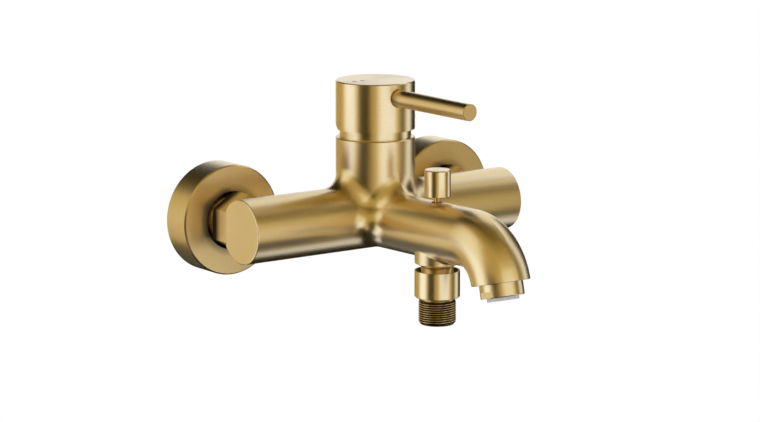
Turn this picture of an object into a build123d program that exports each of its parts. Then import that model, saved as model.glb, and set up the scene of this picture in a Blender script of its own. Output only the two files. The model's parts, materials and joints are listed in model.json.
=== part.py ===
from build123d import *
import math
import os

# A wall-mounted bath and shower mixer, in millimetres.
# The origin lies in the wall plane, midway between the two inlets.
# X runs along the arms, Y points into the wall, Z points up.
# Heights count from the centre line of the arms.

os.makedirs("parts", exist_ok=True)

# Plumbing standards that the mixer has to fit
inlet_centres = 150.0
half_inch_radius = 10.478
three_quarter_radius = 13.22

# Clearances
turning_gap = 0.06
screwed_gap = 0.05
loose_gap = 0.3
turret_gap = 0.1
ball_gap = 0.15
overrun = 1.0

# Casting: arms, tower, spout and outlet boss
wall_to_axis = 52.6
arm_radius = 18.1
arm_overhang = 16.5
arm_flat_depth = 15.0
arm_edge_round = 0.7
flat_inner_end = 46.0
flat_runout_radius = 10.0
tower_radius = 22.5
tower_top = 45.2
tower_edge = 0.4
dome_start = -1.0
dome_depth = 16.0
cast_blend_radius = 12.0
spout_radius = 16.1
spout_root_drop = 1.3
spout_straight = 89.2
spout_bend_rise = 0.55
spout_bend_radius = 26.7
spout_bend_angle = 77.2
spout_edge = 0.4
outlet_reach = 58.7
boss_radius = 12.6
boss_bottom = -19.6
boss_chamfer_width = 3.4
boss_chamfer_height = 1.7
boss_blend_radius = 1.5

# Water ways inside the casting
arm_bore_radius = 6.0
arm_bore_drop = 3.0
arm_bore_end_wall = 9.0
arm_bore_gap = 10.0
spout_bore_radius = 9.5
feed_bore_radius = 5.5
feed_bore_drop = 4.0
feed_bore_start = 8.5
spout_bore_wall = 2.7
bridge_width = 10.0
bridge_height = 4.0

# Wall connections
escutcheon_radius = 31.3
escutcheon_depth = 18.9
escutcheon_hole_radius = 16.3
escutcheon_wall = 1.3
escutcheon_edge = 0.8
escutcheon_flange_place = 5.5
escutcheon_flange_depth = 2.5
eccentric = 6.0
connector_web_start = 0.5
connector_web_depth = 4.0
connector_web_margin = 1.0
connector_length = 28.0
wall_thread_length = 18.0
wall_thread_chamfer = 1.2
connector_bore_radius = 8.0
wall_bore_radius = 7.0
gasket_depth = 2.0
gasket_bore_radius = 7.2
nipple_flange_radius = 12.0
nipple_flange_depth = 3.0
nipple_neck_radius = 9.0
nipple_thread_depth = 9.0
nipple_bore_radius = 6.0
nipple_key_width = 12.5
nipple_key_depth = 4.0
nut_width = 30.0
nut_back = 22.0
nut_chamfer = 1.6
nut_chamfer_depth = 1.0

# Cartridge
cartridge_radius = 17.5
cavity_floor = 6.0
floor_gap = 0.2
base_plate_depth = 5.3
base_rim_height = 3.5
disc_radius = 14.5
disc_depth = 4.5
moving_disc_radius = 11.5
moving_disc_depth = 4.0
mixing_pocket_length = 15.0
mixing_pocket_width = 7.0
mixing_pocket_depth = 2.5
port_radius = 3.0
inlet_port_spread = 6.5
inlet_port_back = 5.0
outlet_port_front = 8.5
seal_band = 1.6
seal_depth = 1.2
peg_radius = 1.4
peg_length = 2.5
peg_spread = 9.0
peg_front = 12.5
carrier_depth = 6.0
carrier_floor = 1.5
housing_wall = 1.3
housing_lip_depth = 3.7
housing_top = 34.0
turret_flange_radius = 15.8
turret_flange_depth = 3.2
turret_radius = 12.1
turret_top = 42.0
pivot_height = 35.0
pivot_pin_radius = 1.5
pivot_pin_length = 20.0
stem_width = 8.0
stem_top = 67.5
stem_shoulder = 3.2
finger_radius = 2.0
finger_length = 10.0
finger_ball_radius = 2.8
slot_front = 5.6
slot_back = 8.6
finger_slot_front = 7.4
finger_slot_back = 2.6
slip_ring_depth = 1.0
slip_ring_bore_radius = 12.8
nut_thread_radius = 18.95
nut_thread_height = 9.0
nut_bore_radius = 13.5
nut_hex_width = 31.0
nut_hex_height = 5.0

# Dress ring and handle
ring_radius = 20.3
ring_foot_radius = 19.9
ring_foot_height = 0.6
ring_shoulder = 50.3
ring_top = 51.5
ring_top_radius = 17.0
ring_bore_radius = 18.1
ring_top_bore_radius = 13.0
handle_bottom = 50.0
handle_top = 77.4
handle_wall = 1.4
handle_ceiling = 61.0
handle_edge = 0.5
handle_tilt = 25.0
relief_rise = 12.4
hub_radius = 8.0
hub_bottom = 59.0
socket_gap = 0.05
lever_height = 69.4
lever_radius = 4.9
lever_tip_radius = 4.7
lever_reach = 87.7
lever_edge = 0.25
lever_recess_radius = 5.4
lever_recess_depth = 1.6
lever_socket_depth = 9.0
lever_stub_radius = 3.0
lever_stub_length = 5.5
screw_drop = 2.5
screw_radius = 2.5
screw_length = 8.0
screw_key_width = 2.5
screw_key_depth = 3.0
plug_radius = 3.2
plug_depth = 1.5
mark_radius = 1.4
mark_depth = 0.4
hot_mark_place = (-14.2, 0.3)
cold_mark_place = (-8.6, 0.6)

# Diverter
knob_radius = 7.3
knob_bottom = 19.1
knob_height = 15.1
knob_edge = 0.5
knob_socket_depth = 9.0
rod_radius = 2.0
rod_head_radius = 4.5
rod_head_depth = 1.5
chamber_radius = 8.6
seat_height = -12.0
lower_seal_depth = 2.0
plunger_radius = 6.8
plunger_depth = 3.0
upper_seal_depth = 2.0
seal_radius = 7.6
upper_seat_height = 3.0
upper_seat_depth = 2.0
upper_seat_radius = 6.0
upper_chamber_radius = 8.0
upper_chamber_top = 9.5
clip_radius = 4.0
clip_depth = 1.0
bush_radius = 5.5
bush_top = 14.0
spout_pin_hole_radius = 3.4
bush_o_ring_radius = 0.8
bush_o_ring_height = 11.8
spring_wire_radius = 0.35
spring_coil_radius = 3.2
spring_turns = 6

# Shower outlet
outlet_neck_radius = 9.0
outlet_thread_radius = 8.55
outlet_bore_radius = 6.0
collar_radius = 12.63
collar_top = -22.2
collar_bottom = -37.2
collar_edge = 0.5
collar_rim = 0.9
collar_dish_depth = 2.2
collar_lip_bottom = -25.6
collar_bore_radius = 10.2
undercut_radius = 9.5
undercut_depth = 1.6
nipple_bottom = -52.4
nipple_chamfer = 1.4
valve_pocket_radius = 7.6
valve_pocket_top = -33.4
valve_top = -35.4
valve_bottom = -49.4
valve_wall = 1.7
valve_seat_radius = 4.2
valve_seat_depth = 1.5
spider_depth = 1.5
spider_hub_radius = 3.6
spider_arm_width = 1.6
poppet_radius = 5.0
poppet_depth = 1.4
poppet_gap = 0.1
poppet_stem_radius = 0.9
valve_spring_wire_radius = 0.3
valve_spring_coil_radius = 2.4
valve_spring_turns = 5
valve_o_ring_radius = 0.75
valve_o_ring_height = -42.4

# Aerator
aerator_radius = 12.0
aerator_proud = 7.6
aerator_thread_depth = 6.0
aerator_pocket_depth = 8.0
aerator_edge = 0.4
aerator_flat_height = 3.6
aerator_flat_depth = 0.8
aerator_bore_radius = 8.85
insert_radius = 8.78
insert_proud = 2.0
insert_depth = 8.0
insert_rim = 1.2
insert_hole_radius = 0.55
insert_hole_pitch = 1.7
insert_face_depth = 1.2
flow_disc_depth = 2.0
flow_disc_height = 3.5
flow_hole_radius = 1.0
flow_hole_circle = 5.2
flow_holes = 8
gasket_thickness = 2.0

# Places
arm_centre = (0, -wall_to_axis, 0)
tower_place = Plane(origin=arm_centre, z_dir=(0, 0, 1))
arm_place = Plane(origin=arm_centre, x_dir=(0, 1, 0), z_dir=(1, 0, 0))
spout_side = Plane(origin=arm_centre, x_dir=(0, -1, 0), z_dir=(-1, 0, 0))
outlet_place = Plane(origin=(0, -wall_to_axis - outlet_reach, 0), z_dir=(0, 0, 1))
front_place = Plane(origin=arm_centre, x_dir=(1, 0, 0), z_dir=(0, -1, 0))

# Heights and sizes that follow from the ones above
arm_half_length = inlet_centres / 2 + arm_overhang
screw_height = stem_top - screw_drop
cavity_radius = cartridge_radius + turning_gap
nut_shelf = housing_top + slip_ring_depth
hex_bottom = nut_shelf + nut_thread_height
base_bottom = cavity_floor + floor_gap
disc_seat = base_bottom + base_plate_depth
disc_top = disc_seat + disc_depth
base_rim_top = disc_seat + base_rim_height
moving_disc_top = disc_top + moving_disc_depth
carrier_top = moving_disc_top + carrier_depth
housing_bore_radius = cartridge_radius - housing_wall
housing_lip_bottom = housing_top - housing_lip_depth
turret_bottom = housing_lip_bottom - turret_flange_depth - turret_gap
finger_height = pivot_height - finger_length
stem_bottom = pivot_height - stem_shoulder
lever_root = tower_radius - lever_socket_depth
plunger_bottom = seat_height + lower_seal_depth
upper_seal_bottom = plunger_bottom + plunger_depth
upper_seal_top = upper_seal_bottom + upper_seal_depth
clip_top = upper_seal_top + clip_depth
body_flat = wall_to_axis - arm_flat_depth
nipple_flange_front = connector_length + gasket_depth + nipple_flange_depth
nut_front = body_flat - loose_gap
valve_seat_bottom = valve_top - valve_seat_depth
poppet_top = valve_seat_bottom - poppet_gap
poppet_bottom = poppet_top - poppet_depth
spider_top = valve_bottom + spider_depth


def section(place):
    """The half plane through a place's centre line: radius along local x, height along y."""
    return Plane(origin=place.origin, x_dir=place.x_dir, z_dir=-place.y_dir)


def turn(place, outline, mode=Mode.ADD):
    """Turn a closed outline of (radius, height) corners about a place's centre line."""
    with BuildSketch(section(place)) as profile:
        with BuildLine():
            Polyline(*outline, close=True)
        make_face()
    revolve(profile.sketch, axis=Axis(place.origin, place.z_dir), mode=mode)


def bore(place, radius, low, high, mode=Mode.SUBTRACT):
    """A plain round hole, or a plain rod, between two heights of a place."""
    with BuildSketch(place.offset(low)) as circle:
        Circle(radius)
    extrude(circle.sketch, amount=high - low, mode=mode)


def tube(place, inner, outer, low, high, mode=Mode.ADD):
    """A plain ring between two heights of a place."""
    turn(place, [(inner, low), (outer, low), (outer, high), (inner, high)], mode)


def o_ring(place, inner, cord_radius, height):
    """A round-section seal that touches the given inner radius."""
    with BuildSketch(section(place)) as cord:
        with Locations((inner + cord_radius, height)):
            Circle(cord_radius)
    revolve(cord.sketch, axis=Axis(place.origin, place.z_dir))


def coil(place, coil_radius, wire_radius, low, high, turns):
    """A compression spring's wire, whose end turns touch the two seats."""
    height = high - low - 2 * wire_radius
    start = place.offset(low + wire_radius)
    helix = Helix(height / turns, height, coil_radius, center=(0, 0, 0)).moved(start.location)
    with BuildSketch(Plane(origin=helix @ 0, z_dir=helix % 0)) as wire:
        Circle(wire_radius)
    sweep(wire.sketch, path=helix)


# Path of the spout, and the plane of its mouth
with BuildLine(spout_side) as spout_path:
    spout_run = Line((0, -spout_root_drop), (spout_straight, spout_bend_rise))
    spout_bend = JernArc(spout_run @ 1, spout_run % 1, spout_bend_radius, -spout_bend_angle)
mouth_place = Plane(origin=spout_bend @ 1, x_dir=(1, 0, 0), z_dir=spout_bend % 1)

# Everything that is hollow inside the casting, as one solid that is cut out of it
with BuildPart() as water_ways:
    # Cartridge cavity and its thread
    turn(
        tower_place,
        [
            (0, cavity_floor),
            (cavity_radius, cavity_floor),
            (cavity_radius, nut_shelf),
            (nut_thread_radius + screwed_gap, nut_shelf),
            (nut_thread_radius + screwed_gap, tower_top + overrun),
            (0, tower_top + overrun),
        ],
    )
    for sign in (-1, 1):
        inlet_place = Plane(origin=(sign * inlet_centres / 2, 0, 0), x_dir=(1, 0, 0), z_dir=(0, -1, 0))
        nipple_hole_end = body_flat + nipple_thread_depth
        bore(inlet_place, nipple_neck_radius, body_flat - overrun, nipple_hole_end, Mode.ADD)
        bore(inlet_place, nipple_bore_radius, body_flat, wall_to_axis, Mode.ADD)
        arm_line = Plane(
            origin=(0, -wall_to_axis, -arm_bore_drop), x_dir=(0, 1, 0), z_dir=(sign, 0, 0)
        )
        bore(arm_line, arm_bore_radius, arm_bore_gap / 2, arm_half_length - arm_bore_end_wall, Mode.ADD)
        port = tower_place.shift_origin(
            (sign * inlet_port_spread, inlet_port_back - wall_to_axis, 0)
        )
        bore(port, port_radius, -arm_bore_drop, cavity_floor + overrun, Mode.ADD)
        peg_hole = tower_place.shift_origin((sign * peg_spread, -wall_to_axis - peg_front, 0))
        peg_hole_bottom = base_bottom - peg_length - loose_gap
        bore(peg_hole, peg_radius + screwed_gap, peg_hole_bottom, cavity_floor + overrun, Mode.ADD)

    # Way of the mixed water: down, forward to the diverter, and over into the spout
    mixed_port = tower_place.shift_origin((0, -wall_to_axis - outlet_port_front, 0))
    bore(mixed_port, port_radius, -feed_bore_drop, cavity_floor + overrun, Mode.ADD)
    feed_line = Plane(origin=(0, -wall_to_axis, -feed_bore_drop), x_dir=(1, 0, 0), z_dir=(0, -1, 0))
    bore(feed_line, feed_bore_radius, feed_bore_start, outlet_reach, Mode.ADD)
    spout_crown = spout_radius + spout_bend_rise + overrun
    turn(
        outlet_place,
        [
            (0, boss_bottom - overrun),
            (chamber_radius, boss_bottom - overrun),
            (chamber_radius, upper_seat_height),
            (upper_seat_radius, upper_seat_height),
            (upper_seat_radius, upper_seat_height + upper_seat_depth),
            (upper_chamber_radius, upper_seat_height + upper_seat_depth),
            (upper_chamber_radius, upper_chamber_top),
            (bush_radius + screwed_gap, upper_chamber_top),
            (bush_radius + screwed_gap, bush_top),
            (spout_pin_hole_radius, bush_top),
            (spout_pin_hole_radius, spout_crown),
            (0, spout_crown),
        ],
    )
    spout_bore_start = outlet_reach + chamber_radius + spout_bore_wall
    with BuildLine(spout_side) as spout_way:
        way_run = Line((spout_bore_start, 0), (spout_straight, spout_bend_rise))
        JernArc(way_run @ 1, way_run % 1, spout_bend_radius, -spout_bend_angle)
    with BuildSketch(Plane(origin=way_run @ 0, z_dir=way_run % 0)) as way_section:
        Circle(spout_bore_radius)
    sweep(way_section.sketch, path=spout_way.line)
    bore(mouth_place, aerator_radius + screwed_gap, -aerator_pocket_depth, overrun, Mode.ADD)
    bridge_bottom = upper_seat_height + upper_seat_depth
    with BuildSketch(front_place.offset(outlet_reach)) as bridge:
        with Locations((0, bridge_bottom + bridge_height / 2)):
            Rectangle(bridge_width, bridge_height)
    extrude(bridge.sketch, amount=spout_bore_start - outlet_reach + overrun)

# The casting
with BuildPart() as mixer_body:
    with BuildSketch(section(tower_place)):
        with BuildLine():
            rim = Line((0, tower_top), (tower_radius, tower_top))
            side = Line(rim @ 1, (tower_radius, dome_start))
            EllipticalCenterArc(
                (0, dome_start), tower_radius, dome_depth, start_angle=270, arc_size=90
            )
            Line((0, dome_start - dome_depth), (0, tower_top))
        make_face()
    revolve(axis=Axis(arm_centre, (0, 0, 1)))
    bore(arm_place, arm_radius, -arm_half_length, arm_half_length, Mode.ADD)
    with BuildSketch(Plane(origin=spout_run @ 0, z_dir=spout_run % 0)) as spout_section:
        Circle(spout_radius)
    sweep(spout_section.sketch, path=spout_path.line)
    creases = mixer_body.edges().filter_by(GeomType.BSPLINE)
    fillet(creases.filter_by(lambda crease: crease.length > cast_blend_radius), cast_blend_radius)

    # The left half with its flat, where the union nut sits, and the right one mirrored from it
    split(bisect_by=Plane.YZ, keep=Keep.BOTTOM)
    flat_length = arm_half_length + overrun - flat_inner_end
    flat_depth = flat_runout_radius + overrun
    flat_centre = (-flat_inner_end - flat_length / 2, arm_flat_depth - wall_to_axis + flat_depth / 2)
    with BuildSketch(Plane.XY.offset(-arm_radius - overrun)) as flat:
        with Locations(flat_centre):
            Rectangle(flat_length, flat_depth)
        fillet(flat.vertices().group_by(Axis.Y)[0].sort_by(Axis.X)[-1], flat_runout_radius)
    extrude(flat.sketch, amount=2 * (arm_radius + overrun), mode=Mode.SUBTRACT)
    fillet(mixer_body.faces().sort_by(Axis.X)[0].edges(), arm_edge_round)
    mirror(about=Plane.YZ)
    fillet(mixer_body.faces().filter_by(GeomType.PLANE).sort_by(Axis.Y)[0].edges(), spout_edge)
    chamfer(mixer_body.faces().sort_by(Axis.Z)[-1].edges(), tower_edge)

    # Boss of the shower outlet
    turn(
        outlet_place,
        [
            (0, 0),
            (boss_radius, 0),
            (boss_radius, boss_bottom + boss_chamfer_height),
            (boss_radius - boss_chamfer_width, boss_bottom),
            (0, boss_bottom),
        ],
    )
    seam_middles = {
        seam: outlet_place.to_local_coords(seam @ 0.5)
        for seam in mixer_body.edges().filter_by(GeomType.BSPLINE)
    }
    boss_seams = [
        seam
        for seam, middle in seam_middles.items()
        if abs(Vector(middle.X, middle.Y).length - boss_radius) < screwed_gap
    ]
    fillet(boss_seams, boss_blend_radius)
    add(water_ways.part, mode=Mode.SUBTRACT)
mixer_body.part.label = "mixer_body"
export_step(mixer_body.part, "parts/mixer_body.step")

# Wall connections, alike on both sides
for side, sign in (("left", -1), ("right", 1)):
    inlet_place = Plane(origin=(sign * inlet_centres / 2, 0, 0), x_dir=(1, 0, 0), z_dir=(0, -1, 0))
    wall_place = inlet_place.shift_origin((sign * inlet_centres / 2, 0, -eccentric))

    with BuildPart() as escutcheon:
        flange_top = escutcheon_flange_place + escutcheon_flange_depth
        sleeve_radius = escutcheon_hole_radius + escutcheon_wall
        turn(
            inlet_place,
            [
                (escutcheon_radius, 0),
                (escutcheon_radius, escutcheon_depth - escutcheon_edge),
                (escutcheon_radius - escutcheon_edge, escutcheon_depth),
                (escutcheon_hole_radius, escutcheon_depth),
                (escutcheon_hole_radius, flange_top),
                (three_quarter_radius + screwed_gap, flange_top),
                (three_quarter_radius + screwed_gap, escutcheon_flange_place),
                (sleeve_radius, escutcheon_flange_place),
                (sleeve_radius, escutcheon_depth - escutcheon_wall),
                (escutcheon_radius - escutcheon_wall, escutcheon_depth - escutcheon_wall),
                (escutcheon_radius - escutcheon_wall, 0),
            ],
        )
    escutcheon.part.label = f"{side}_escutcheon"
    export_step(escutcheon.part, f"parts/{side}_escutcheon.step")

    with BuildPart() as s_union:
        bore(inlet_place, three_quarter_radius, connector_web_start, connector_length, Mode.ADD)
        with BuildSketch(inlet_place.offset(connector_web_start)) as web:
            Circle(three_quarter_radius + connector_web_margin)
            with Locations((0, -eccentric)):
                Circle(half_inch_radius + connector_web_margin)
            make_hull()
        extrude(web.sketch, amount=connector_web_depth)
        turn(
            wall_place,
            [
                (0, connector_web_start),
                (half_inch_radius, connector_web_start),
                (half_inch_radius, wall_thread_chamfer - wall_thread_length),
                (half_inch_radius - wall_thread_chamfer, -wall_thread_length),
                (0, -wall_thread_length),
            ],
        )
        bores_meet = connector_web_start + connector_web_depth / 2
        bore(inlet_place, connector_bore_radius, bores_meet, connector_length)
        bore(wall_place, wall_bore_radius, -wall_thread_length, bores_meet)
    s_union.part.label = f"{side}_s_union"
    export_step(s_union.part, f"parts/{side}_s_union.step")

    with BuildPart() as union_gasket:
        tube(
            inlet_place,
            gasket_bore_radius,
            nipple_flange_radius,
            connector_length,
            connector_length + gasket_depth,
        )
    union_gasket.part.label = f"{side}_union_gasket"
    export_step(union_gasket.part, f"parts/{side}_union_gasket.step")

    with BuildPart() as inlet_nipple:
        flange_back = connector_length + gasket_depth
        nipple_end = body_flat + nipple_thread_depth - loose_gap
        turn(
            inlet_place,
            [
                (nipple_bore_radius, flange_back),
                (nipple_flange_radius, flange_back),
                (nipple_flange_radius, nipple_flange_front),
                (nipple_neck_radius - screwed_gap, nipple_flange_front),
                (nipple_neck_radius - screwed_gap, nipple_end),
                (nipple_bore_radius, nipple_end),
            ],
        )
        with BuildSketch(inlet_place.offset(flange_back)) as key:
            RegularPolygon(nipple_key_width / 2, 6, major_radius=False)
        extrude(key.sketch, amount=nipple_key_depth, mode=Mode.SUBTRACT)
    inlet_nipple.part.label = f"{side}_inlet_nipple"
    export_step(inlet_nipple.part, f"parts/{side}_inlet_nipple.step")

    with BuildPart() as union_nut:
        with BuildSketch(inlet_place.offset(nut_back)) as hexagon:
            RegularPolygon(nut_width / 2, 6, major_radius=False, rotation=30)
        extrude(hexagon.sketch, amount=nut_front - nut_back)
        nut_corner = nut_width / math.sqrt(3)
        turn(
            inlet_place,
            [
                (nut_corner - nut_chamfer, nut_back),
                (nut_corner, nut_back + nut_chamfer_depth),
                (nut_corner, nut_front - nut_chamfer_depth),
                (nut_corner - nut_chamfer, nut_front),
                (nipple_neck_radius + loose_gap, nut_front),
                (nipple_neck_radius + loose_gap, nipple_flange_front + loose_gap),
                (three_quarter_radius + turning_gap, nipple_flange_front + loose_gap),
                (three_quarter_radius + turning_gap, nut_back),
            ],
            Mode.INTERSECT,
        )
    union_nut.part.label = f"{side}_union_nut"
    export_step(union_nut.part, f"parts/{side}_union_nut.step")

# Cartridge pieces that stay still
ports = [
    (-inlet_port_spread, inlet_port_back),
    (inlet_port_spread, inlet_port_back),
    (0, -outlet_port_front),
]
seal_radius_outer = port_radius + seal_band

with BuildPart() as cartridge_base:
    turn(
        tower_place,
        [
            (0, base_bottom),
            (cartridge_radius - screwed_gap, base_bottom),
            (cartridge_radius - screwed_gap, base_rim_top),
            (disc_radius + screwed_gap, base_rim_top),
            (disc_radius + screwed_gap, disc_seat),
            (0, disc_seat),
        ],
    )
    with BuildSketch(tower_place.offset(base_bottom - peg_length)) as pegs:
        with Locations((-peg_spread, -peg_front), (peg_spread, -peg_front)):
            Circle(peg_radius)
    extrude(pegs.sketch, amount=peg_length)
    with BuildSketch(tower_place.offset(base_bottom)) as seal_pockets:
        with Locations(*ports):
            Circle(seal_radius_outer + screwed_gap)
    extrude(seal_pockets.sketch, amount=seal_depth - floor_gap, mode=Mode.SUBTRACT)
    with BuildSketch(tower_place.offset(base_bottom)) as base_ports:
        with Locations(*ports):
            Circle(port_radius)
    extrude(base_ports.sketch, amount=base_plate_depth, mode=Mode.SUBTRACT)
cartridge_base.part.label = "cartridge_base"
export_step(cartridge_base.part, "parts/cartridge_base.step")

with BuildPart() as cartridge_seals:
    with BuildSketch(tower_place.offset(cavity_floor)) as seal_rings:
        with Locations(*ports):
            Circle(seal_radius_outer)
            Circle(port_radius, mode=Mode.SUBTRACT)
    extrude(seal_rings.sketch, amount=seal_depth)
cartridge_seals.part.label = "cartridge_seals"
export_step(cartridge_seals.part, "parts/cartridge_seals.step")

with BuildPart() as fixed_disc:
    bore(tower_place, disc_radius, disc_seat, disc_top, Mode.ADD)
    with BuildSketch(tower_place.offset(disc_seat)) as disc_ports:
        with Locations(*ports):
            Circle(port_radius)
    extrude(disc_ports.sketch, amount=disc_depth, mode=Mode.SUBTRACT)
fixed_disc.part.label = "fixed_disc"
export_step(fixed_disc.part, "parts/fixed_disc.step")

with BuildPart() as cartridge_housing:
    turn(
        tower_place,
        [
            (housing_bore_radius, base_rim_top),
            (cartridge_radius - screwed_gap, base_rim_top),
            (cartridge_radius - screwed_gap, housing_top),
            (turret_radius + turning_gap, housing_top),
            (turret_radius + turning_gap, housing_lip_bottom),
            (housing_bore_radius, housing_lip_bottom),
        ],
    )
cartridge_housing.part.label = "cartridge_housing"
export_step(cartridge_housing.part, "parts/cartridge_housing.step")

with BuildPart() as slip_ring:
    tube(tower_place, slip_ring_bore_radius, cartridge_radius - screwed_gap, housing_top, nut_shelf)
slip_ring.part.label = "slip_ring"
export_step(slip_ring.part, "parts/slip_ring.step")

with BuildPart() as cartridge_nut:
    bore(tower_place, nut_thread_radius, nut_shelf, hex_bottom, Mode.ADD)
    with BuildSketch(tower_place.offset(hex_bottom)) as nut_hex:
        RegularPolygon(nut_hex_width / 2, 6, major_radius=False)
    extrude(nut_hex.sketch, amount=nut_hex_height)
    bore(tower_place, nut_bore_radius, nut_shelf, hex_bottom + nut_hex_height)
cartridge_nut.part.label = "cartridge_nut"
export_step(cartridge_nut.part, "parts/cartridge_nut.step")

with BuildPart() as dress_ring:
    ring_ceiling = hex_bottom + nut_hex_height + loose_gap
    turn(
        tower_place,
        [
            (ring_bore_radius, tower_top),
            (ring_foot_radius, tower_top),
            (ring_foot_radius, tower_top + ring_foot_height),
            (ring_radius, tower_top + ring_foot_height),
            (ring_radius, ring_shoulder),
            (ring_top_radius, ring_top),
            (ring_top_bore_radius, ring_top),
            (ring_top_bore_radius, ring_ceiling),
            (ring_bore_radius, ring_ceiling),
        ],
    )
dress_ring.part.label = "dress_ring"
export_step(dress_ring.part, "parts/dress_ring.step")

# Cartridge pieces that turn with the handle
with BuildPart() as cartridge_turret:
    turn(
        tower_place,
        [
            (0, turret_bottom),
            (turret_flange_radius, turret_bottom),
            (turret_flange_radius, turret_bottom + turret_flange_depth),
            (turret_radius, turret_bottom + turret_flange_depth),
            (turret_radius, turret_top),
            (0, turret_top),
        ],
    )
    slot_width = stem_width + 2 * turning_gap
    with BuildSketch(tower_place.offset(turret_bottom + turret_flange_depth)) as stem_slot:
        with Locations((0, (slot_back - slot_front) / 2)):
            Rectangle(slot_width, slot_back + slot_front)
    extrude(stem_slot.sketch, amount=turret_top - turret_bottom - turret_flange_depth, mode=Mode.SUBTRACT)
    with BuildSketch(tower_place.offset(turret_bottom)) as finger_slot:
        with Locations((0, (finger_slot_back - finger_slot_front) / 2)):
            Rectangle(2 * (finger_ball_radius + loose_gap), finger_slot_back + finger_slot_front)
    extrude(finger_slot.sketch, amount=turret_flange_depth, mode=Mode.SUBTRACT)
    pin_line = arm_place.offset(-pivot_pin_length / 2).shift_origin(
        (-pivot_pin_length / 2, -wall_to_axis, pivot_height)
    )
    bore(pin_line, pivot_pin_radius, 0, pivot_pin_length)
cartridge_turret.part.label = "cartridge_turret"
export_step(cartridge_turret.part, "parts/cartridge_turret.step")

with BuildPart() as stem_pin:
    bore(pin_line, pivot_pin_radius, 0, pivot_pin_length, Mode.ADD)
stem_pin.part.label = "stem_pin"
export_step(stem_pin.part, "parts/stem_pin.step")

with BuildPart() as cartridge_stem:
    with BuildSketch(tower_place.offset(stem_bottom)) as square:
        Rectangle(stem_width, stem_width)
    extrude(square.sketch, amount=stem_top - stem_bottom)
    bore(tower_place, finger_radius, finger_height, stem_bottom, Mode.ADD)
    with Locations(tower_place.offset(finger_height).location):
        Sphere(finger_ball_radius)
    bore(pin_line, pivot_pin_radius + turning_gap, 0, pivot_pin_length)
cartridge_stem.part.label = "cartridge_stem"
export_step(cartridge_stem.part, "parts/cartridge_stem.step")

with BuildPart() as moving_disc:
    bore(tower_place, moving_disc_radius, disc_top, moving_disc_top, Mode.ADD)
    with BuildSketch(tower_place.offset(disc_top)) as mixing_pocket:
        SlotOverall(mixing_pocket_length, mixing_pocket_width)
    extrude(mixing_pocket.sketch, amount=mixing_pocket_depth, mode=Mode.SUBTRACT)
moving_disc.part.label = "moving_disc"
export_step(moving_disc.part, "parts/moving_disc.step")

with BuildPart() as disc_carrier:
    bore(tower_place, moving_disc_radius, moving_disc_top, carrier_top, Mode.ADD)
    bore(tower_place, finger_ball_radius + ball_gap, moving_disc_top + carrier_floor, carrier_top)
disc_carrier.part.label = "disc_carrier"
export_step(disc_carrier.part, "parts/disc_carrier.step")

# Handle
with BuildPart() as handle_cap:
    handle_bore_radius = tower_radius - handle_wall
    turn(
        tower_place,
        [
            (0, hub_bottom),
            (hub_radius, hub_bottom),
            (hub_radius, handle_ceiling),
            (handle_bore_radius, handle_ceiling),
            (handle_bore_radius, handle_bottom),
            (tower_radius, handle_bottom),
            (tower_radius, handle_top - handle_edge),
            (tower_radius - handle_edge, handle_top),
            (0, handle_top),
        ],
    )
    # Relief behind the skirt, which lies level when the handle is tipped up
    relief_slope = math.tan(math.radians(handle_tilt))
    relief_base = pivot_height + relief_rise
    relief_front = (handle_bottom - relief_base) / relief_slope
    relief_back = tower_radius + overrun
    with BuildSketch(arm_place.offset(-tower_radius - overrun)) as relief:
        with BuildLine():
            Polyline(
                (relief_front - overrun, handle_bottom - overrun * relief_slope),
                (relief_back, relief_base + relief_back * relief_slope),
                (relief_back, handle_bottom - overrun * relief_slope),
                close=True,
            )
        make_face()
    extrude(relief.sketch, amount=2 * (tower_radius + overrun), mode=Mode.SUBTRACT)
    with BuildSketch(tower_place.offset(hub_bottom)) as stem_socket:
        Rectangle(stem_width + 2 * socket_gap, stem_width + 2 * socket_gap)
    extrude(stem_socket.sketch, amount=stem_top - hub_bottom, mode=Mode.SUBTRACT)
    lever_line = front_place.shift_origin((0, -wall_to_axis, lever_height))
    bore(lever_line, lever_recess_radius, tower_radius - lever_recess_depth, tower_radius + overrun)
    bore(lever_line, lever_radius + screwed_gap, lever_root, tower_radius)
    bore(lever_line, lever_stub_radius + screwed_gap, lever_root - lever_stub_length, tower_radius)
    screw_line = Plane(
        origin=(0, -wall_to_axis, screw_height), x_dir=(-1, 0, 0), z_dir=(0, 1, 0)
    )
    bore(screw_line, screw_radius + screwed_gap, 0, tower_radius)
    bore(screw_line, plug_radius + screwed_gap, tower_radius - plug_depth, tower_radius + overrun)
    with BuildSketch(tower_place.offset(handle_top - mark_depth)) as mark_pockets:
        with Locations(hot_mark_place, cold_mark_place):
            Circle(mark_radius)
    extrude(mark_pockets.sketch, amount=mark_depth, mode=Mode.SUBTRACT)
handle_cap.part.label = "handle_cap"
export_step(handle_cap.part, "parts/handle_cap.step")

with BuildPart() as lever_rod:
    turn(
        lever_line,
        [
            (0, lever_root - lever_stub_length),
            (lever_stub_radius, lever_root - lever_stub_length),
            (lever_stub_radius, lever_root),
            (lever_radius, lever_root),
            (lever_radius, tower_radius),
            (lever_tip_radius, lever_reach - lever_edge),
            (lever_tip_radius - lever_edge, lever_reach),
            (0, lever_reach),
        ],
    )
lever_rod.part.label = "lever_rod"
export_step(lever_rod.part, "parts/lever_rod.step")

with BuildPart() as handle_screw:
    screw_tip = stem_width / 2
    bore(screw_line, screw_radius, screw_tip, screw_tip + screw_length, Mode.ADD)
    with BuildSketch(screw_line.offset(screw_tip + screw_length - screw_key_depth)) as screw_key:
        RegularPolygon(screw_key_width / 2, 6, major_radius=False)
    extrude(screw_key.sketch, amount=screw_key_depth, mode=Mode.SUBTRACT)
handle_screw.part.label = "handle_screw"
export_step(handle_screw.part, "parts/handle_screw.step")

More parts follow.
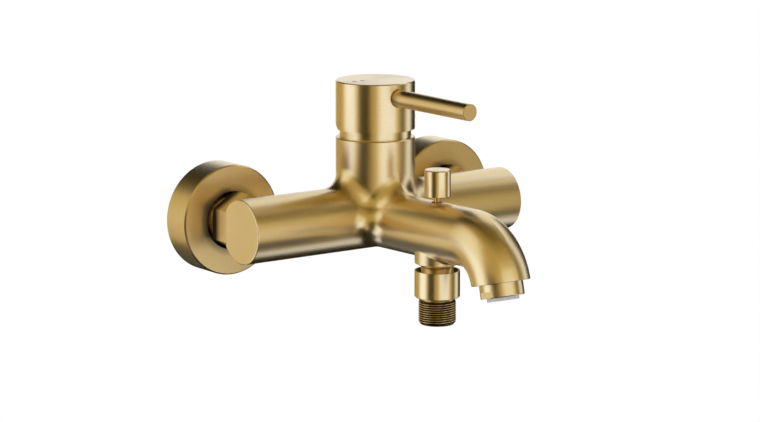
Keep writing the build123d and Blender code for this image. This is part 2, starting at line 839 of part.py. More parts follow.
with BuildPart() as screw_plug:
    bore(screw_line, plug_radius, tower_radius - plug_depth, tower_radius + overrun, Mode.ADD)
    bore(tower_place, tower_radius, handle_bottom, handle_top, Mode.INTERSECT)
screw_plug.part.label = "screw_plug"
export_step(screw_plug.part, "parts/screw_plug.step")

for mark_name, mark_place in (("hot_mark", hot_mark_place), ("cold_mark", cold_mark_place)):
    with BuildPart() as mark:
        with BuildSketch(tower_place.offset(handle_top - mark_depth)) as dot:
            with Locations(mark_place):
                Circle(mark_radius)
        extrude(dot.sketch, amount=mark_depth)
    mark.part.label = mark_name
    export_step(mark.part, f"parts/{mark_name}.step")

# Diverter
with BuildPart() as diverter_knob:
    knob_top = knob_bottom + knob_height
    turn(
        outlet_place,
        [
            (rod_radius, knob_bottom),
            (knob_radius - knob_edge, knob_bottom),
            (knob_radius, knob_bottom + knob_edge),
            (knob_radius, knob_top - knob_edge),
            (knob_radius - knob_edge, knob_top),
            (0, knob_top),
            (0, knob_bottom + knob_socket_depth),
            (rod_radius, knob_bottom + knob_socket_depth),
        ],
    )
diverter_knob.part.label = "diverter_knob"
export_step(diverter_knob.part, "parts/diverter_knob.step")

with BuildPart() as diverter_rod:
    bore(outlet_place, rod_head_radius, seat_height - rod_head_depth, seat_height, Mode.ADD)
    bore(outlet_place, rod_radius, seat_height, knob_bottom + knob_socket_depth, Mode.ADD)
diverter_rod.part.label = "diverter_rod"
export_step(diverter_rod.part, "parts/diverter_rod.step")

with BuildPart() as diverter_lower_seal:
    tube(outlet_place, rod_radius, seal_radius, seat_height, plunger_bottom)
diverter_lower_seal.part.label = "diverter_lower_seal"
export_step(diverter_lower_seal.part, "parts/diverter_lower_seal.step")

with BuildPart() as diverter_plunger:
    tube(outlet_place, rod_radius, plunger_radius, plunger_bottom, upper_seal_bottom)
diverter_plunger.part.label = "diverter_plunger"
export_step(diverter_plunger.part, "parts/diverter_plunger.step")

with BuildPart() as diverter_upper_seal:
    tube(outlet_place, rod_radius, seal_radius, upper_seal_bottom, upper_seal_top)
diverter_upper_seal.part.label = "diverter_upper_seal"
export_step(diverter_upper_seal.part, "parts/diverter_upper_seal.step")

with BuildPart() as diverter_clip:
    tube(outlet_place, rod_radius, clip_radius, upper_seal_top, clip_top)
diverter_clip.part.label = "diverter_clip"
export_step(diverter_clip.part, "parts/diverter_clip.step")

with BuildPart() as diverter_spring:
    coil(outlet_place, spring_coil_radius, spring_wire_radius, clip_top, upper_chamber_top, spring_turns)
diverter_spring.part.label = "diverter_spring"
export_step(diverter_spring.part, "parts/diverter_spring.step")

with BuildPart() as diverter_bush:
    groove_half = bush_o_ring_radius + screwed_gap
    groove_radius = rod_radius + turning_gap + 2 * bush_o_ring_radius + screwed_gap
    tube(outlet_place, rod_radius + turning_gap, bush_radius, upper_chamber_top, bush_top)
    tube(
        outlet_place,
        rod_radius,
        groove_radius,
        bush_o_ring_height - groove_half,
        bush_o_ring_height + groove_half,
        Mode.SUBTRACT,
    )
diverter_bush.part.label = "diverter_bush"
export_step(diverter_bush.part, "parts/diverter_bush.step")

with BuildPart() as bush_o_ring:
    o_ring(outlet_place, rod_radius + turning_gap, bush_o_ring_radius, bush_o_ring_height)
bush_o_ring.part.label = "bush_o_ring"
export_step(bush_o_ring.part, "parts/bush_o_ring.step")

# Shower outlet
with BuildPart() as shower_nipple:
    undercut_bottom = collar_bottom - undercut_depth
    turn(
        outlet_place,
        [
            (outlet_bore_radius, seat_height),
            (outlet_thread_radius, seat_height),
            (outlet_thread_radius, boss_bottom),
            (outlet_neck_radius, boss_bottom),
            (outlet_neck_radius, collar_lip_bottom),
            (collar_bore_radius - screwed_gap, collar_lip_bottom),
            (collar_bore_radius - screwed_gap, collar_bottom),
            (undercut_radius, collar_bottom),
            (undercut_radius, undercut_bottom),
            (half_inch_radius, undercut_bottom),
            (half_inch_radius, nipple_bottom + nipple_chamfer),
            (half_inch_radius - nipple_chamfer, nipple_bottom),
            (valve_pocket_radius, nipple_bottom),
            (valve_pocket_radius, valve_pocket_top),
            (outlet_bore_radius, valve_pocket_top),
        ],
    )
shower_nipple.part.label = "shower_nipple"
export_step(shower_nipple.part, "parts/shower_nipple.step")

with BuildPart() as outlet_collar:
    dish_radius = collar_radius - collar_rim
    lip_radius = outlet_neck_radius + screwed_gap
    turn(
        outlet_place,
        [
            (collar_bore_radius, collar_bottom),
            (collar_radius - collar_edge, collar_bottom),
            (collar_radius, collar_bottom + collar_edge),
            (collar_radius, collar_top),
            (dish_radius, collar_top),
            (lip_radius, collar_top - collar_dish_depth),
            (lip_radius, collar_lip_bottom),
            (collar_bore_radius, collar_lip_bottom),
        ],
    )
outlet_collar.part.label = "outlet_collar"
export_step(outlet_collar.part, "parts/outlet_collar.step")

with BuildPart() as check_valve_body:
    valve_radius = valve_pocket_radius - screwed_gap
    valve_bore_radius = valve_radius - valve_wall
    valve_groove_radius = valve_radius - 2 * valve_o_ring_radius
    valve_groove_half = valve_o_ring_radius + screwed_gap
    turn(
        outlet_place,
        [
            (valve_seat_radius, valve_top),
            (valve_radius, valve_top),
            (valve_radius, valve_bottom),
            (valve_bore_radius, valve_bottom),
            (valve_bore_radius, valve_seat_bottom),
            (valve_seat_radius, valve_seat_bottom),
        ],
    )
    bore(outlet_place, spider_hub_radius, valve_bottom, spider_top, Mode.ADD)
    with BuildSketch(outlet_place.offset(valve_bottom)) as spider:
        Rectangle(2 * valve_bore_radius + valve_wall, spider_arm_width)
        Rectangle(spider_arm_width, 2 * valve_bore_radius + valve_wall)
    extrude(spider.sketch, amount=spider_depth)
    bore(outlet_place, poppet_stem_radius + turning_gap, valve_bottom, spider_top)
    tube(
        outlet_place,
        valve_groove_radius,
        valve_pocket_radius,
        valve_o_ring_height - valve_groove_half,
        valve_o_ring_height + valve_groove_half,
        Mode.SUBTRACT,
    )
check_valve_body.part.label = "check_valve_body"
export_step(check_valve_body.part, "parts/check_valve_body.step")

with BuildPart() as check_valve_o_ring:
    o_ring(outlet_place, valve_groove_radius, valve_o_ring_radius, valve_o_ring_height)
check_valve_o_ring.part.label = "check_valve_o_ring"
export_step(check_valve_o_ring.part, "parts/check_valve_o_ring.step")

with BuildPart() as check_valve_poppet:
    bore(outlet_place, poppet_radius, poppet_bottom, poppet_top, Mode.ADD)
    bore(outlet_place, poppet_stem_radius, valve_bottom, poppet_bottom, Mode.ADD)
check_valve_poppet.part.label = "check_valve_poppet"
export_step(check_valve_poppet.part, "parts/check_valve_poppet.step")

with BuildPart() as check_valve_spring:
    coil(
        outlet_place,
        valve_spring_coil_radius,
        valve_spring_wire_radius,
        spider_top,
        poppet_bottom,
        valve_spring_turns,
    )
check_valve_spring.part.label = "check_valve_spring"
export_step(check_valve_spring.part, "parts/check_valve_spring.step")

# Aerator in the spout's mouth; heights count outwards from the spout's end
with BuildPart() as aerator_gasket:
    tube(
        mouth_place,
        aerator_bore_radius,
        aerator_radius - screwed_gap,
        -aerator_pocket_depth,
        gasket_thickness - aerator_pocket_depth,
    )
aerator_gasket.part.label = "aerator_gasket"
export_step(aerator_gasket.part, "parts/aerator_gasket.step")

with BuildPart() as aerator_housing:
    insert_back = aerator_proud + insert_proud - insert_depth
    turn(
        mouth_place,
        [
            (aerator_bore_radius - insert_rim, -aerator_thread_depth),
            (aerator_radius, -aerator_thread_depth),
            (aerator_radius, aerator_proud - aerator_edge),
            (aerator_radius - aerator_edge, aerator_proud),
            (aerator_bore_radius, aerator_proud),
            (aerator_bore_radius, insert_back),
            (aerator_bore_radius - insert_rim, insert_back),
        ],
    )
    flat_place = aerator_radius - aerator_flat_depth
    with BuildSketch(mouth_place.offset(aerator_proud - aerator_flat_height)) as flats:
        with Locations((flat_place + aerator_radius / 2, 0), (-flat_place - aerator_radius / 2, 0)):
            Rectangle(aerator_radius, 2 * aerator_radius)
    extrude(flats.sketch, amount=aerator_flat_height + overrun, mode=Mode.SUBTRACT)
aerator_housing.part.label = "aerator_housing"
export_step(aerator_housing.part, "parts/aerator_housing.step")

with BuildPart() as aerator_insert:
    insert_front = aerator_proud + insert_proud
    turn(
        mouth_place,
        [
            (insert_radius - insert_rim, insert_back),
            (insert_radius, insert_back),
            (insert_radius, insert_front),
            (0, insert_front),
            (0, insert_front - insert_face_depth),
            (insert_radius - insert_rim, insert_front - insert_face_depth),
        ],
    )
    grid_radius = insert_radius - insert_rim - insert_hole_radius
    grid_count = 2 * math.floor(grid_radius / insert_hole_pitch) + 1
    with BuildSketch(mouth_place.offset(insert_front - insert_face_depth)) as grid:
        with GridLocations(insert_hole_pitch, insert_hole_pitch, grid_count, grid_count) as cells:
            inside = [cell for cell in cells.local_locations if cell.position.length < grid_radius]
        with Locations(*inside):
            Circle(insert_hole_radius)
    extrude(grid.sketch, amount=insert_face_depth, mode=Mode.SUBTRACT)
aerator_insert.part.label = "aerator_insert"
export_step(aerator_insert.part, "parts/aerator_insert.step")

with BuildPart() as flow_disc:
    flow_disc_back = insert_back - flow_disc_height
    bore(
        mouth_place,
        aerator_bore_radius - insert_rim - screwed_gap,
        flow_disc_back,
        flow_disc_back + flow_disc_depth,
        Mode.ADD,
    )
    with BuildSketch(mouth_place.offset(flow_disc_back)) as flow_ring:
        with PolarLocations(flow_hole_circle, flow_holes):
            Circle(flow_hole_radius)
    extrude(flow_ring.sketch, amount=flow_disc_depth, mode=Mode.SUBTRACT)
flow_disc.part.label = "flow_disc"
export_step(flow_disc.part, "parts/flow_disc.step")
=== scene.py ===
import json
import math

import bmesh
import bpy
from mathutils import Matrix, Vector

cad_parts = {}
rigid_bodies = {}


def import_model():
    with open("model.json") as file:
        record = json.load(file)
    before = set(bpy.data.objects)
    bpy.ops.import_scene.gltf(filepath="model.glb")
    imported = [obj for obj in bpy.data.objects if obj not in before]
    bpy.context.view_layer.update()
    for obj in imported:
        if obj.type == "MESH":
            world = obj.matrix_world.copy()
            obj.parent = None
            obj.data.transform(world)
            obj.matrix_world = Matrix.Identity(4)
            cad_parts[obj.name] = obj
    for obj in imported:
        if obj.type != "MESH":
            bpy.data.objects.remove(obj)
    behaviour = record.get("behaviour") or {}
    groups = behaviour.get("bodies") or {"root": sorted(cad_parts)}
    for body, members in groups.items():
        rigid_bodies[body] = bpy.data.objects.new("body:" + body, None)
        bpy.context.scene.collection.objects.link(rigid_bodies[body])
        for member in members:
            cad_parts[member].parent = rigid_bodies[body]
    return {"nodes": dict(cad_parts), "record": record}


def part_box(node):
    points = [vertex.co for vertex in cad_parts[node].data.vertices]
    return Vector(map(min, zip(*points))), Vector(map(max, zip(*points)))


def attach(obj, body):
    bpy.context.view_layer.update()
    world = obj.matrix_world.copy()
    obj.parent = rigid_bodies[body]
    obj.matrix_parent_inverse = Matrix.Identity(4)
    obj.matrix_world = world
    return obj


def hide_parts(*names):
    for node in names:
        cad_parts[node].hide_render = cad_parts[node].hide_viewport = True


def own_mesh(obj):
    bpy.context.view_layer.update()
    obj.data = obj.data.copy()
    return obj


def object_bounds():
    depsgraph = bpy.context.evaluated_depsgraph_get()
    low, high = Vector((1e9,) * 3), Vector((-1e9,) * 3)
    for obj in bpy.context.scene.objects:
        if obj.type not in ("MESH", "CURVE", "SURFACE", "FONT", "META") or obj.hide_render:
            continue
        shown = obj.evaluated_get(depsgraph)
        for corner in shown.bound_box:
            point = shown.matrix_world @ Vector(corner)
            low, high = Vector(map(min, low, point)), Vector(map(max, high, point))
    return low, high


# Frame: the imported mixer, with nothing else in the scene

for leftover in list(bpy.data.objects):
    bpy.data.objects.remove(leftover)
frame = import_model()
cad_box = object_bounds()
nodes = frame["nodes"]
scene = bpy.context.scene

mm = 0.001
up = Vector((0, 0, 1))
outwards = Vector((0, -1, 0))
weld = 0.001 * mm


def centre_of(node):
    lowest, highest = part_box(node)
    return (lowest + highest) / 2


def placed(name, data):
    """A new object in the scene, at the origin."""
    made = bpy.data.objects.new(name, data)
    scene.collection.objects.link(made)
    return made


# Camera: the photograph's place and angle

picture_width = 760
focal_pixels = 3000
view_direction = Vector((0.57494, 0.79717, -0.18430))

camera_data = bpy.data.cameras.new("photo_camera")
camera_data.sensor_width = 36
camera_data.lens = focal_pixels * camera_data.sensor_width / picture_width
camera = placed("photo_camera", camera_data)
camera.location = (-0.9770, -1.4117, 0.3159)
camera.rotation_euler = view_direction.to_track_quat("-Z", "Y").to_euler()
scene.camera = camera
scene.view_settings.view_transform = "Standard"


# Node trees: Python's operators for the maths, and one method for every other node


class Wire:
    """One output of a node; its operators add Math nodes to the tree that it comes from."""

    def __init__(self, tree, socket):
        self.tree = tree
        self.socket = socket

    def output(self, name):
        """Another output of the same node."""
        return Wire(self.tree, self.socket.node.outputs[name])

    def math(self, operation, *others):
        return self.tree.math(operation, self, *others)

    def clamped(self):
        return self.math("MINIMUM", 1.0).math("MAXIMUM", 0.0)

    def __add__(self, other):
        return self.tree.math("ADD", self, other)

    def __radd__(self, other):
        return self.tree.math("ADD", other, self)

    def __sub__(self, other):
        return self.tree.math("SUBTRACT", self, other)

    def __rsub__(self, other):
        return self.tree.math("SUBTRACT", other, self)

    def __mul__(self, other):
        return self.tree.math("MULTIPLY", self, other)

    def __rmul__(self, other):
        return self.tree.math("MULTIPLY", other, self)

    def __truediv__(self, other):
        return self.tree.math("DIVIDE", self, other)

    def __rtruediv__(self, other):
        return self.tree.math("DIVIDE", other, self)

    def __lt__(self, other):
        """1 where this is below the other, and 0 elsewhere."""
        return self.tree.math("LESS_THAN", self, other)

    def __gt__(self, other):
        """1 where this is above the other, and 0 elsewhere."""
        return self.tree.math("GREATER_THAN", self, other)


class Tree:
    """A node tree built up node by node."""

    def __init__(self, node_tree):
        self.node_tree = node_tree
        self.node_tree.nodes.clear()

    def add(self, kind, settings=None, sockets=None, output=0):
        """Adds a node of that kind and gives the wire of its output, if it has one."""
        node = self.node_tree.nodes.new(kind)
        for name, setting in (settings or {}).items():
            if name == "stops":
                self.set_stops(node.color_ramp.elements, setting)
            else:
                setattr(node, name, setting)
        for name, value in (sockets or {}).items():
            if isinstance(value, Wire):
                self.node_tree.links.new(value.socket, node.inputs[name])
            else:
                node.inputs[name].default_value = value
        return Wire(self, node.outputs[output]) if len(node.outputs) else None

    def set_stops(self, elements, stops):
        """A new ramp has two stops; more are added as they are needed."""
        for place, (position, shade) in enumerate(stops):
            if place > 1:
                elements.new(position)
            elements[place].position = position
            elements[place].color = (*shade, 1)

    def math(self, operation, *values):
        return self.add("ShaderNodeMath", {"operation": operation}, dict(enumerate(values)))

    def vector(self, operation, *values, output=0):
        sockets = dict(enumerate(values))
        return self.add("ShaderNodeVectorMath", {"operation": operation}, sockets, output)

    def scaled(self, vector, factor):
        sockets = {"Vector": vector, "Scale": factor}
        return self.add("ShaderNodeVectorMath", {"operation": "SCALE"}, sockets)

    def length(self, vector):
        return self.vector("LENGTH", vector, output="Value")

    def place(self):
        """The point on the surface, in the object's own coordinates."""
        return self.add("ShaderNodeTexCoord", output="Object")

    def ramp(self, value, *stops):
        return self.add("ShaderNodeValToRGB", {"stops": stops}, {"Fac": value}, "Color")

    def mixed(self, factor, first, second):
        """One colour turning into another; the numbers are the colour kind's sockets."""
        sockets = {0: factor, 6: first, 7: second}
        return self.add("ShaderNodeMix", {"data_type": "RGBA"}, sockets, 2)

    def bump(self, height, strength, depth):
        sockets = {"Height": height, "Strength": strength, "Distance": depth}
        return self.add("ShaderNodeBump", sockets=sockets)

    def principled(self, sockets):
        """The material's surface."""
        surface = self.add("ShaderNodeBsdfPrincipled", sockets=sockets)
        self.add("ShaderNodeOutputMaterial", sockets={"Surface": surface})


def new_finish(name):
    material = bpy.data.materials.new(name)
    material.use_nodes = True
    return material, Tree(material.node_tree)


# Marks: the coordinates along which each way of finishing leaves its lines


def from_axis(tree, centre, axis):
    """How far a point lies along an axis, and its offset square to it."""
    offset = tree.vector("SUBTRACT", tree.place(), centre)
    along = tree.vector("DOT_PRODUCT", offset, axis, output="Value")
    return along, tree.vector("SUBTRACT", offset, tree.scaled(axis, along))


def turned_marks(tree, centre, axis):
    """Lines that a lathe leaves: rings round the axis, also on the ends that it faces."""
    line_spacing = 0.3 * mm
    waves_round = 3.0
    along, across = from_axis(tree, centre, axis)
    direction = tree.scaled(tree.vector("NORMALIZE", across), waves_round)
    lines = tree.scaled(axis, (along + tree.length(across)) / line_spacing)
    return tree.vector("ADD", direction, lines)


def drawn_marks(tree):
    """Lines of a belt along a casting: fine across each direction, longer along X."""
    lines_per_metre = (900, 3600, 3600)
    return tree.vector("MULTIPLY", tree.place(), lines_per_metre)


def noise(tree, vector, detail=3.0):
    return tree.add(
        "ShaderNodeTexNoise",
        {"noise_dimensions": "3D"},
        {"Vector": vector, "Scale": 1.0, "Detail": detail, "Roughness": 0.6},
        "Fac",
    )


def grained(tree, grain, detail=3.0):
    """An even grain with no direction, as on moulded or blasted pieces."""
    return noise(tree, tree.scaled(tree.place(), 1 / grain), detail)


# Masks of painted shade: where the light hardly reaches, in hollows, holes and behind faces


def cup_painted_shade(tree, centre):
    """Painted shade: 1 in an escutcheon's hole and behind its face, fading out on the face round
    the hole.
    """
    inner_radius = 30.2 * mm
    face_back = 8.2 * mm
    hole_radius = 16.5 * mm
    shade_width = 4.5 * mm
    shade = 0.5
    along, across = from_axis(tree, centre, outwards)
    radius = tree.length(across)
    behind = (radius < inner_radius) * (along < face_back)
    in_hole = radius < hole_radius
    round_hole = ((hole_radius + shade_width - radius) / shade_width).clamped() * shade
    return behind.math("MAXIMUM", in_hole).math("MAXIMUM", round_hole)


def nut_painted_shade(tree, centre):
    """Painted shade: 1 on the end of a union nut that stands in the escutcheon's hole, fading out
    forwards.
    """
    shade_front = 0.5 * mm
    shade_width = 5 * mm
    along = from_axis(tree, centre, outwards)[0]
    return ((shade_front - along) / shade_width).clamped()


def collar_painted_shade(tree, centre):
    """Painted shade: 1 in the dish and the bore of the outlet's collar."""
    dish_radius = 11.8 * mm
    dish_bottom = -6 * mm
    along, across = from_axis(tree, centre, up)
    return (tree.length(across) < dish_radius) * (along > dish_bottom)


# Finishes

gold_light = (0.89, 0.69, 0.335)
gold_dark = (0.80, 0.61, 0.29)
# The near-black colour is painted shade, for hollows, holes and thread grooves where the light
# hardly reaches
painted_shade = (0.045, 0.032, 0.014)


def gold(name, marks, roughness, line_depth, turned=0.0, shade_mask=None):
    """Brushed gold plating under a clear lacquer; a mask paints near-black shade into the hollows,
    which are rougher and have no lacquer.
    """
    line_share = 0.8
    line_roughness = 0.03
    hollow_roughness = 0.2
    cloud_size = 30 * mm
    material, tree = new_finish(name)
    lines = noise(tree, marks(tree))
    clouds = grained(tree, cloud_size, detail=2.0)
    tone = lines * line_share + clouds * (1 - line_share)
    colour = tree.ramp(tone, (0.3, gold_dark), (0.7, gold_light))
    gloss = roughness - line_roughness / 2 + lines * line_roughness
    lacquer = 1.0
    # Painted shade: where the mask is 1, a near-black colour takes the place of the gold
    if shade_mask:
        shade_share = shade_mask(tree)
        colour = tree.mixed(shade_share, colour, (*painted_shade, 1))
        gloss = gloss + shade_share * hollow_roughness
        lacquer = 1 - shade_share
    tree.principled(
        {
            "Base Color": colour,
            "Metallic": 1.0,
            "Roughness": gloss,
            "Anisotropic": turned,
            "Anisotropic Rotation": 0.25,
            "Coat Weight": lacquer,
            "Coat Roughness": 0.27,
            "Coat IOR": 1.55,
            "Normal": tree.bump(lines, 0.12, line_depth),
        }
    )
    return material


def thread_gold(name, centre, axis, crest_radius, thread_length):
    """A cut thread: plated crests, and painted shade that deepens into the grooves."""
    material, tree = new_finish(name)
    along, across = from_axis(tree, centre, axis)
    depth_in_mm = (along < thread_length) * (crest_radius - tree.length(across)) / mm
    # Painted shade: the colour darkens to near black with the depth of the groove
    colour = tree.ramp(depth_in_mm, (0.1, gold_dark), (0.42, painted_shade))
    tree.principled({"Base Color": colour, "Metallic": 1.0, "Roughness": 0.34})
    return material


def bare_metal(name, dark, light, grain, roughness):
    """Metal of the hidden works, which is left as it was made."""
    grain_roughness = 0.1
    material, tree = new_finish(name)
    speckle = grained(tree, grain)
    tree.principled(
        {
            "Base Color": tree.ramp(speckle, (0.25, dark), (0.75, light)),
            "Metallic": 1.0,
            "Roughness": roughness - grain_roughness / 2 + speckle * grain_roughness,
            "Normal": tree.bump(speckle, 0.4, 0.01 * mm),
        }
    )
    return material


def moulded(name, dark, light, grain, roughness, light_through=0.0, lacquer=0.0, shine=0.5):
    """Plastic, rubber, ceramic or enamel, with its fine moulded grain."""
    grain_roughness = 0.08
    material, tree = new_finish(name)
    speckle = grained(tree, grain)
    tree.principled(
        {
            "Base Color": tree.ramp(speckle, (0.3, dark), (0.7, light)),
            "Roughness": roughness - grain_roughness / 2 + speckle * grain_roughness,
            "Transmission Weight": light_through,
            "Coat Weight": lacquer,
            "Specular IOR Level": shine,
            "Normal": tree.bump(speckle, 0.3, 0.01 * mm),
        }
    )
    return material


def dress(node, finish):
    """Puts a finish on a piece in place of what it was packed with."""
    slots = nodes[node].data.materials
    slots.clear()
    slots.append(finish)


def dress_turned(node, axis, roughness=0.31, line_depth=0.008 * mm, shade_mask=None):
    """Gold with the lathe lines of one turned piece, round its own axis."""
    centre = centre_of(node)
    mask = (lambda tree: shade_mask(tree, centre)) if shade_mask else None
    finish = gold(
        f"{node}_gold",
        lambda tree: turned_marks(tree, centre, axis),
        roughness,
        line_depth,
        # The gloss can only be drawn out round Z, so the other pieces go without
        turned=0.5 if axis == up else 0.0,
        shade_mask=mask,
    )
    dress(node, finish)


smooth_line_depth = 0.002 * mm
mouth_tilt = math.radians(14)
mouth_axis = Vector((0, -math.sin(mouth_tilt), -math.cos(mouth_tilt)))

dress("mixer_body", gold("cast_gold", drawn_marks, 0.32, smooth_line_depth))
for piece in ("handle_cap", "dress_ring", "diverter_knob"):
    dress_turned(piece, up)
# The collar's dish, the escutcheons' hollows and the union nuts' back ends get painted shade
dress_turned("outlet_collar", up, shade_mask=collar_painted_shade)
for side in ("left", "right"):
    dress_turned(f"{side}_escutcheon", outwards, shade_mask=cup_painted_shade)
    dress_turned(f"{side}_union_nut", outwards, roughness=0.34, shade_mask=nut_painted_shade)
dress_turned("lever_rod", outwards, line_depth=smooth_line_depth)
dress_turned("aerator_housing", mouth_axis)

# The other finishes, by the material slots that they stand for: dark and light shade, size of
# the grain, and roughness
metals = {
    "raw_brass": ((0.55, 0.36, 0.12), (0.75, 0.53, 0.22), 0.8 * mm, 0.34),
    "steel": ((0.48, 0.47, 0.45), (0.66, 0.65, 0.63), 0.6 * mm, 0.3),
}
mouldings = {
    "rubber": ((0.012, 0.012, 0.012), (0.03, 0.03, 0.03), 0.5 * mm, 0.6),
    "ceramic": ((0.78, 0.76, 0.70), (0.86, 0.84, 0.79), 0.7 * mm, 0.25),
    "cartridge_plastic": ((0.5, 0.5, 0.5), (0.62, 0.62, 0.62), 0.9 * mm, 0.42),
    "white_plastic": ((0.74, 0.74, 0.72), (0.82, 0.82, 0.81), 0.9 * mm, 0.38),
    "aerator_plastic": ((0.66, 0.67, 0.68), (0.78, 0.79, 0.8), 0.9 * mm, 0.35),
    "plug_plastic": ((0.42, 0.30, 0.13), (0.52, 0.38, 0.18), 0.6 * mm, 0.4),
    "red_enamel": ((0.30, 0.014, 0.01), (0.38, 0.02, 0.015), 0.6 * mm, 0.4),
    "blue_enamel": ((0.01, 0.11, 0.30), (0.015, 0.15, 0.38), 0.6 * mm, 0.4),
}
# What a few of the mouldings have besides
extras = {
    "ceramic": {"lacquer": 0.5},
    "aerator_plastic": {"light_through": 0.25},
    "red_enamel": {"shine": 0.04},
    "blue_enamel": {"shine": 0.25},
}
finishes = {slot: bare_metal(slot, *look) for slot, look in metals.items()}
for slot, look in mouldings.items():
    finishes[slot] = moulded(slot, *look, **extras.get(slot, {}))

for subpart in frame["record"]["subparts"]:
    if subpart["material_slot"] in finishes:
        dress(subpart["node"], finishes[subpart["material_slot"]])


# Pieces that stand for packed ones


def merged(node):
    """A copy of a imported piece's mesh, with its loose triangles joined."""
    shape = bmesh.new()
    shape.from_mesh(nodes[node].data)
    bmesh.ops.remove_doubles(shape, verts=shape.verts, dist=weld)
    return shape


def stand_in(name, node, shape, finish):
    """Makes a shape a piece of the fixed body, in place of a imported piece."""
    mesh = bpy.data.meshes.new(name)
    shape.to_mesh(mesh)
    shape.free()
    mesh.materials.clear()
    mesh.materials.append(finish)
    for polygon in mesh.polygons:
        polygon.use_smooth = True
        polygon.material_index = 0
    piece = placed(name, mesh)
    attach(piece, "root")
    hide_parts(node)
    return piece


# Threads: one Geometry Nodes tree winds a helical thread on a sleeve, and a pulled-in copy of
# the turned piece carries it

thread_steps_round = 96
thread_rows_per_turn = 12
thread_lengths = ("Crest radius", "Depth", "Inner radius", "Pitch", "Length", "Lead in")


def thread_nodes():
    """Winds a sleeve with its mouth at the origin, climbing +Z."""
    group = bpy.data.node_groups.new("thread", "GeometryNodeTree")
    interface = group.interface
    interface.new_socket("Geometry", in_out="OUTPUT", socket_type="NodeSocketGeometry")
    for name in thread_lengths:
        interface.new_socket(name, in_out="INPUT", socket_type="NodeSocketFloat")
    interface.new_socket("Rows", in_out="INPUT", socket_type="NodeSocketInt")
    interface.new_socket("Finish", in_out="INPUT", socket_type="NodeSocketMaterial")
    tree = Tree(group)
    given = tree.add("NodeGroupInput").output
    crest = given("Crest radius")
    inner = given("Inner radius")
    length = given("Length")
    root = crest - given("Depth")
    rows = given("Rows")

    # The sheet runs from -0.5 to 0.5 both ways, and X goes once round. Row 0 is the inner wall's
    # foot, then come the thread's rows, then the inner wall's top and foot
    sheet = tree.add(
        "GeometryNodeMeshGrid",
        sockets={
            "Size X": 1.0,
            "Size Y": 1.0,
            "Vertices X": thread_steps_round + 1,
            "Vertices Y": rows + 3,
        },
        output="Mesh",
    )
    position = tree.add("GeometryNodeInputPosition")
    split = tree.add("ShaderNodeSeparateXYZ", sockets={0: position})
    turn = split.output("X") + 0.5
    row = (split.output("Y") + 0.5) * (rows + 2)
    outside = (row > 0.5) * (row < rows + 0.5)
    climb = ((row - 1) / (rows - 1)).clamped()
    height = climb * (row < rows + 1.5) * length

    phase = (height / given("Pitch") - turn).math("FRACT")
    slope = (phase * 2 - 1).math("ABSOLUTE")
    flat_share = 0.14
    groove = ((slope - flat_share) / (1 - 2 * flat_share)).clamped()
    threaded = crest - given("Depth") * groove
    from_mouth = height + crest - given("Lead in")
    from_shoulder = length - height + root
    worn = threaded.math("MINIMUM", from_mouth).math("MINIMUM", from_shoulder)
    radius = inner + outside * (worn - inner)

    angle = turn * math.tau
    wound = tree.add(
        "ShaderNodeCombineXYZ",
        sockets={"X": radius * angle.math("COSINE"), "Y": radius * angle.math("SINE"), "Z": height},
    )
    sleeve = tree.add("GeometryNodeSetPosition", sockets={"Geometry": sheet, "Position": wound})
    closed = tree.add(
        "GeometryNodeMergeByDistance", sockets={"Geometry": sleeve, "Distance": 2 * weld}
    )
    real = tree.add("GeometryNodeRealizeInstances", sockets={"Geometry": closed})
    finished = tree.add(
        "GeometryNodeSetMaterial", sockets={"Geometry": real, "Material": given("Finish")}
    )
    tree.add("NodeGroupOutput", sockets={"Geometry": finished})
    return group


thread_group = thread_nodes()


def wind_thread(name, lengths, finish):
    """The thread's sleeve as a plain mesh."""
    rows = round(lengths["Length"] / lengths["Pitch"] * thread_rows_per_turn)
    values = dict(lengths, Rows=rows, Finish=finish)
    carrier = placed(f"{name}_winding", bpy.data.meshes.new(f"{name}_winding"))
    winding = carrier.modifiers.new("winding", "NODES")
    winding.node_group = thread_group
    for item in thread_group.interface.items_tree:
        if item.in_out == "INPUT":
            winding[item.identifier] = values[item.name]
    evaluated = carrier.evaluated_get(bpy.context.evaluated_depsgraph_get())
    mesh = bpy.data.meshes.new_from_object(evaluated)
    bpy.data.objects.remove(carrier)
    return mesh


def threaded_piece(name, node, mouth, climb, lengths, finish):
    """A copy of a turned piece with a real thread in place of its plain cylinder."""
    margin = 0.05 * mm
    crest = lengths["Crest radius"]
    root = crest - lengths["Depth"]
    shape = merged(node)
    for vertex in shape.verts:
        offset = vertex.co - mouth
        height = offset.dot(climb)
        across = offset - climb * height
        beside_thread = -margin < height < lengths["Length"] + margin
        if beside_thread and root < across.length < crest + margin:
            vertex.co -= across * (1 - root / across.length)
    thread = wind_thread(name, lengths, finish)
    upended = climb.to_track_quat("Z", "Y").to_matrix().to_4x4()
    thread.transform(Matrix.Translation(mouth) @ upended)
    shape.from_mesh(thread)
    bpy.data.meshes.remove(thread)
    piece = stand_in(name, node, shape, finish)
    piece.data.set_sharp_from_angle(angle=math.radians(35))


half_inch_radius = 10.478 * mm
hose_thread = {
    "Crest radius": half_inch_radius,
    "Depth": 0.72 * mm,
    "Inner radius": 9.3 * mm,
    "Pitch": 1.27 * mm,
    "Length": 13.6 * mm,
    "Lead in": 1.4 * mm,
}
wall_thread = {
    "Crest radius": half_inch_radius,
    "Depth": 1.1 * mm,
    "Inner radius": 9.1 * mm,
    "Pitch": 1.814 * mm,
    "Length": 17.3 * mm,
    "Lead in": 1.2 * mm,
}

nipple_mouth = Vector((*centre_of("shower_nipple").xy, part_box("shower_nipple")[0].z))
threaded_piece(
    "threaded_nipple",
    "shower_nipple",
    nipple_mouth,
    up,
    hose_thread,
    thread_gold("thread_gold", nipple_mouth, up, half_inch_radius, hose_thread["Length"]),
)

